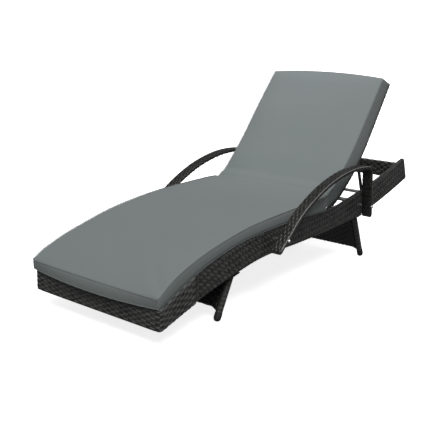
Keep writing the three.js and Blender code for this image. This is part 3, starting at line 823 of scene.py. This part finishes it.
stile_line = evenly(spline(STILE), 120)
stile_ahead = unit(stile_line[-1] - stile_line[-2])
top_tube = stile_line[-1] + stile_ahead * STILE_CORNER * MM

BACK_OUT = 12.6         # how far the skin lies from the stiles' axes, in mm
BACK_EDGE_COUNT = 3     # strips that wrap round each stile
edge_turns = [math.radians(angle) for angle in (-60, -30, 0, 30, 60, 90)]
BACK_KEYS = [(STILE_X + STILE_RADIUS * math.cos(turn), BACK_OUT * math.sin(turn)) for turn in edge_turns]


def back_place(u, v):
    whole = np.concatenate([stile_line[9:], [top_tube]])
    whole = evenly(whole, 160)
    at = u * 159 / BACK_COUNT[0]
    centre = point_on(whole, at)
    ahead = point_on(unit(np.gradient(whole, axis=0)), at)
    normal = np.stack([-ahead[..., 1], ahead[..., 0]], -1)
    half = BACK_COUNT[1] / 2
    from_edge = np.clip(half - np.abs(v - half), 0, half)
    key = np.r_[np.linspace(0, BACK_EDGE_COUNT, len(BACK_KEYS)), half]
    x = np.interp(from_edge, key, [k[0] for k in BACK_KEYS] + [0.0])
    out = np.interp(from_edge, key, [k[1] for k in BACK_KEYS] + [BACK_OUT])
    flat = centre + normal * (out * MM)[..., None]
    return np.concatenate([(np.sign(v - half) * x * MM)[..., None], flat], -1)


back_mesh = weave(back_place, BACK_COUNT, (False, False), (0, -1, 0.5), 71, lift=FLAT_LIFT)
finish_piece(back_mesh.build("back_web", RATTAN), "backrest", "rattan", "back_weave")


def stile_wrap(side, sign):
    t = np.linspace(0, 1, 20)[:, None]
    start = np.array([sign * STILE_X * MM, *stile_line[-1]])
    knee = np.array([sign * STILE_X * MM, *top_tube])
    end = np.array([sign * (STILE_X - STILE_CORNER) * MM, *top_tube])
    bend = start * (1 - t) ** 2 + knee * 2 * t * (1 - t) + end * t ** 2
    path = np.concatenate([at_x(stile_line[3:], sign * STILE_X * MM), bend[1:]])
    winding = spiral(evenly(path, 300), STILE_RADIUS - 0.9, TUBE_PITCH, sign)
    thing = winding.build(f"stile_wrap_{side}", RATTAN)
    finish_piece(thing, "backrest", "rattan", f"back_stile_{side}")


for side, sign in SIDES:
    stile_wrap(side, sign)


# Cushion --------------------------------------------------------------------------------------------

def cushion_lines():
    """Under and upper (y, z) lines with matching stations, and the half widths, from foot to head."""
    seat_y = (np.linspace(-2, FOLD_FOOT[0], 200) - MIDDLE) * MM
    under_seat = np.column_stack([seat_y, rail_top(seat_y) + MM])
    upper_y = (np.linspace(-4, FOLD[0], 200) - MIDDLE) * MM
    upper_seat = np.column_stack([upper_y, cushion_top(upper_y) - 2 * MM])
    core = evenly(np.concatenate([stile_line[14:], [top_tube]]), 120)
    t = np.linspace(0, 1, 120)
    thickness = BACK_THICK + BACK_SWELL * np.sin(math.pi * t ** 0.8) + BACK_GAIN * t
    back_under = offset(core, BACK_UNDER * MM)
    back_upper = core + (offset(core, 1.0) - core) * thickness[:, None] * MM
    back_under[-1] -= stile_ahead * HEAD_SHORT["under"] * MM
    back_upper[-1] -= stile_ahead * HEAD_SHORT["upper"] * MM
    for line in (back_under, back_upper):
        keep = (line - line[-1]) @ stile_ahead < -LAST_STEP
        keep[-1] = True
        line[:] = evenly(line[keep], len(line))
    back_under = np.concatenate([metres([FOLD_FOOT]), back_under])
    back_upper = np.concatenate([metres([FOLD]), back_upper])
    under = np.concatenate([evenly(under_seat, SEAT_STATIONS), evenly(back_under, BACK_STATIONS + 1)[1:]])
    upper = np.concatenate([evenly(upper_seat, SEAT_STATIONS), evenly(back_upper, BACK_STATIONS + 1)[1:]])
    for line, rounds in ((under, 8), (upper, 2)):
        for _ in range(rounds):
            line[1:-1] += (line[:-2] + line[2:] - 2 * line[1:-1]) * 0.25
    s = under[:, 0] / MM + MIDDLE
    up_back = np.clip((np.arange(len(under)) - SEAT_STATIONS) / BACK_STATIONS, 0, 1)
    narrow = smooth_step((s - FOLD[0] + 60) / 70)
    right = HALF_WIDTH - (HALF_WIDTH - INNER) * narrow
    left = LEFT_FOOT - (LEFT_FOOT - LEFT_SIDE) * smooth_step(s / 500)
    left += (LEFT_SIDE - left) * narrow + LEFT_SWELL * np.sin(math.pi * up_back)
    return under, upper, right * MM, left * MM


def cushion_mesh():
    under, upper, right, left = cushion_lines()
    corners = [np.column_stack([right, under]), np.column_stack([right, upper]),
               np.column_stack([-left, upper]), np.column_stack([-left, under])]
    count = len(under) - 1
    dense = [point_on(line, np.linspace(0, len(line) - 1, DENSE)) for line in corners]
    dense = rounded_ends(dense, EDGE_RADIUS)
    place = sleeve(dense, count, CUSHION_ROWS, EDGE_RADIUS)
    ring = 2 * sum(CUSHION_ROWS)
    first = np.array([0.0, 0.15, 0.4])
    stations = np.concatenate([first, np.arange(1.0, count), count - first[::-1]])
    u, v = np.meshgrid(stations, np.arange(ring, dtype=float), indexing="ij")
    points = place(u, v)
    key, across, up, _, _ = corner_keys(*CUSHION_ROWS, 1.0)
    share = 2 * np.interp(v, key, across, period=ring) - 1
    level = np.interp(v, key, up, period=ring)
    upward = unit(point_on(dense[1] - dense[0], u * (DENSE - 1) / count))
    ends = smooth_step(np.minimum(u, count - u) / CROWN_REACH)
    fold = np.exp(-((u - SEAT_STATIONS + 1) / CREASE_REACH) ** 2)
    points -= upward * (CREASE * MM * level * fold)[..., None]
    points += upward * (CROWN * MM * level * (1 - share ** 6) * ends)[..., None]
    bow = 1 - share ** 2
    at_head = smooth_step((u - count + HEAD_BOW_REACH) / HEAD_BOW_REACH) * bow
    points[..., 1:] += stile_ahead * (HEAD_BOW * MM * at_head)[..., None]
    at_foot = smooth_step((FOOT_BOW_REACH - u) / FOOT_BOW_REACH) * bow
    points[..., 1] -= FOOT_BOW * MM * at_foot * (1 - 0.6 * level)
    drooping = smooth_step((FOOT_DROOP_REACH - u) / FOOT_DROOP_REACH)
    points[..., 2] -= FOOT_DROOP * MM * drooping * bow * (1 - level)
    s = points[..., 1] / MM + MIDDLE
    lowered = fade(s, 10, 90, 420, 200) * level * smooth_step((share - 0.1) / 0.9)
    points[..., 2] -= LEFT_FOOT_DROP * MM * lowered
    raised = fade(s, 450, 300, 1200, 150) * level * smooth_step((share - 0.2) / 0.8)
    points[..., 2] += LEFT_SIDE_RISE * MM * raised
    return points


def cushion_object():
    points = cushion_mesh()
    rows, ring = points.shape[:2]
    index = np.arange(rows * ring).reshape(rows, ring)
    quads = np.stack([index[:-1], np.roll(index[:-1], -1, 1), np.roll(index[1:], -1, 1), index[1:]], -1)
    quads = quads.reshape(-1, 4)
    faces, edges = CUSHION_ROWS
    all_points, all_quads = [points.reshape(-1, 3)], [quads]
    used = rows * ring
    for end in (0, rows - 1):
        grid = np.zeros((faces + 1, edges + 1), int)
        loop = index[end]
        grid[:, 0] = loop[:faces + 1]
        grid[-1, :] = loop[faces:faces + edges + 1]
        grid[:, -1] = loop[faces + edges:2 * faces + edges + 1][::-1]
        grid[0, :] = np.r_[loop[2 * faces + edges:], loop[0]][::-1]
        inner = []
        for row_index in range(1, faces):
            for column in range(1, edges):
                a = all_points[0][grid[0, column]]
                b = all_points[0][grid[-1, column]]
                grid[row_index, column] = used + len(inner)
                inner.append(a + (b - a) * row_index / faces)
        all_points.append(np.array(inner))
        used += len(inner)
        cap = np.stack([grid[:-1, :-1], grid[:-1, 1:], grid[1:, 1:], grid[1:, :-1]], -1).reshape(-1, 4)
        all_quads.append(cap if end == 0 else cap[:, ::-1])
    mesh = Mesh()
    joined = np.concatenate(all_points)
    mesh.add(joined, np.concatenate(all_quads), joined[:, :2], np.zeros(len(joined)))
    thing = mesh.build("cushion", CLOTH)
    return thing, index


def vertex_values(thing, name):
    values = np.zeros(len(thing.data.vertices) * 3, np.float32)
    thing.data.vertices.foreach_get(name, values)
    return values.reshape(-1, 3)


def outward_faces(thing):
    work = bmesh.new()
    work.from_mesh(thing.data)
    bmesh.ops.recalc_face_normals(work, faces=work.faces)
    work.to_mesh(thing.data)
    work.free()


def inflate(thing, cap, sewn):
    """Blows the cushion up as cloth, with its underside and the sewn points held. Every point stays within
    cap of its place."""
    rest, normal = vertex_values(thing, "co"), vertex_values(thing, "normal")
    held = thing.vertex_groups.new(name="held")
    slope_up = np.array([0, -0.5, 0.85])
    under = np.nonzero((normal @ slope_up < -0.6) | (normal[:, 2] < -0.5))[0]
    held.add([int(i) for i in [*under, *sewn]], 1.0, "REPLACE")
    cloth = thing.modifiers.new("cloth", "CLOTH")
    settings = cloth.settings
    settings.quality = 5
    settings.mass = 0.3
    settings.tension_stiffness = settings.compression_stiffness = settings.shear_stiffness = 12
    settings.bending_stiffness = 2.0
    settings.use_pressure = True
    settings.uniform_pressure_force = 4
    settings.vertex_group_mass = "held"
    settings.effector_weights.gravity = 0
    cloth.collision_settings.use_collision = False
    scene = bpy.context.scene
    for number in range(1, CLOTH_FRAMES + 1):
        scene.frame_set(number)
    blown = thing.evaluated_get(bpy.context.evaluated_depsgraph_get())
    moved = vertex_values(blown, "co")
    thing.modifiers.remove(cloth)
    scene.frame_set(1)
    push = moved - rest
    far = np.linalg.norm(push, axis=1, keepdims=True)
    limit = cap * np.tanh(far / cap) / np.maximum(far, 1e-9)
    thing.data.vertices.foreach_set("co", (rest + push * limit).astype(np.float32).ravel())
    thing.data.update()


def apply_subdivision(thing):
    thing.modifiers.new("smooth", "SUBSURF").levels = 1
    bpy.context.view_layer.objects.active = thing
    thing.select_set(True)
    bpy.ops.object.modifier_apply(modifier="smooth")
    thing.select_set(False)


cushion, cushion_index = cushion_object()
outward_faces(cushion)
ring_top = slice(CUSHION_ROWS[0], sum(CUSHION_ROWS) + 1)
sewn = {*cushion_index[:, CUSHION_ROWS[0]], *cushion_index[:, sum(CUSHION_ROWS)],
        *cushion_index[0, ring_top], *cushion_index[-1, ring_top]}
inflate(cushion, PUFF, sorted(int(i) for i in sewn))


def piping(name, cushion_points, loop):
    """A thin stitched edge that follows a closed line of the cushion's points."""
    line = cushion_points[loop]
    path = np.concatenate([line, line[:1]])
    path = evenly(path, len(path) * 2)
    ahead = unit(np.gradient(path, axis=0))
    centre = cushion_points.mean(0)
    out = unit(path - centre)
    side = unit(np.cross(ahead, out))
    lift = np.cross(side, ahead)
    around = np.arange(6) * math.pi / 3
    away = side[:, None] * np.cos(around)[:, None] + lift[:, None] * np.sin(around)[:, None]
    points = path[:, None] + away * (PIPING_RADIUS * MM)
    mesh = Mesh()
    quads = ribbon_quads(1, len(path), False)
    uvs = np.stack(np.broadcast_arrays(around[None, :], np.arange(len(path))[:, None] * 0.01), -1)
    mesh.add(points, quads, uvs, np.zeros(points.shape[:2]))
    thing = mesh.build(name, CLOTH)
    outward_faces(thing)
    return thing


def across_end(ring, near, far, upper):
    """The points of an end ring from its near side to its far side, along its upper or its lower edge."""
    return ring[near:far + 1] if upper else np.r_[ring[far:], ring[0]][::-1]


cushion_points = vertex_values(cushion, "co").astype(float)
faces, edges = CUSHION_ROWS
seam_pieces = []
for label, near, far in (("upper", faces, faces + edges), ("lower", 0, 2 * faces + edges)):
    start, end = (across_end(cushion_index[row], near, far, label == "upper") for row in (0, -1))
    there, back = cushion_index[:, near], cushion_index[::-1, far]
    loop = np.concatenate([there, end[1:], back[1:], start[::-1][1:-1]])
    seam_pieces.append(piping(f"cushion_seam_{label}", cushion_points, loop))

apply_subdivision(cushion)
for thing in (cushion, *seam_pieces):
    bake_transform(thing)
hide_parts("seat_cushion", "back_cushion")


# Hardware that keeps its CAD shape -------------------------------------------------------------------

for name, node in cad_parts.items():
    if node.hide_render:
        continue
    kind = next((finish for word, finish in FINISHES.items() if word in name), "painted")
    node.data.materials.clear()
    node.data.materials.append(CAD_MATERIALS[kind])


# Floor and light -------------------------------------------------------------------------------------

def make_floor():
    n = Nodes("studio_floor")
    here = n.place()
    n.set(Base_Color=n.mix(n.noise(here, 1.5), srgb("f4f4f4"), srgb("fafafa")), Roughness=0.9)
    n.shader.inputs["Emission Color"].default_value = (1, 1, 1, 1)
    n.shader.inputs["Emission Strength"].default_value = 0.8
    mesh = bpy.data.meshes.new("floor")
    mesh.from_pydata([(-30, -30, 0), (30, -30, 0), (30, 30, 0), (-30, 30, 0)], [], [(0, 1, 2, 3)])
    mesh.materials.append(n.material)
    floor = bpy.data.objects.new("floor", mesh)
    bpy.context.scene.collection.objects.link(floor)
    hide_from_light(floor)


def area_light(name, place, target, size, power):
    data = bpy.data.lights.new(name, "AREA")
    data.shape, data.size, data.energy = "DISK", size, power
    data.color = KEY_COLOUR
    data.spread = math.radians(KEY_SPREAD)
    lamp = bpy.data.objects.new(name, data)
    lamp.location = place
    lamp.rotation_euler = (Vector(target) - Vector(place)).to_track_quat("-Z", "Y").to_euler()
    bpy.context.scene.collection.objects.link(lamp)


def make_world():
    """Dim light from all round, and a white backdrop that only the camera sees."""
    world = bpy.data.worlds.new("studio")
    world.use_nodes = True
    background = world.node_tree.nodes["Background"].inputs
    background["Color"].default_value = (1, 1, 1, 1)
    background["Strength"].default_value = 0.2
    bpy.context.scene.world = world
    material = bpy.data.materials.new("backdrop_white")
    material.use_nodes = True
    shader = material.node_tree.nodes["Principled BSDF"].inputs
    shader["Base Color"].default_value = (0.9, 0.9, 0.9, 1)
    shader["Emission Color"].default_value = (1, 1, 1, 1)
    shader["Emission Strength"].default_value = 1.0
    bpy.ops.mesh.primitive_uv_sphere_add(segments=48, ring_count=24, radius=28)
    backdrop = bpy.context.object
    backdrop.name = "backdrop"
    backdrop.data.materials.append(material)
    hide_from_light(backdrop)


def hide_from_light(thing):
    """The camera sees the thing, but it neither lights nor shades the lounger."""
    thing.visible_diffuse = False
    thing.visible_glossy = False
    thing.visible_shadow = False


def sun(name, direction, spread, strength):
    data = bpy.data.lights.new(name, "SUN")
    data.angle, data.energy = math.radians(spread), strength
    lamp = bpy.data.objects.new(name, data)
    lamp.rotation_euler = Vector(direction).to_track_quat("Z", "Y").to_euler()
    bpy.context.scene.collection.objects.link(lamp)


make_floor()
make_world()
bpy.context.scene.view_settings.view_transform = "Standard"
sun("overhead", (0.32, -0.34, 0.88), 45, 3.45)
area_light("key", (-0.6, -1.7, 3.3), (0, 0.85, 0.8), 0.7, 2.2)
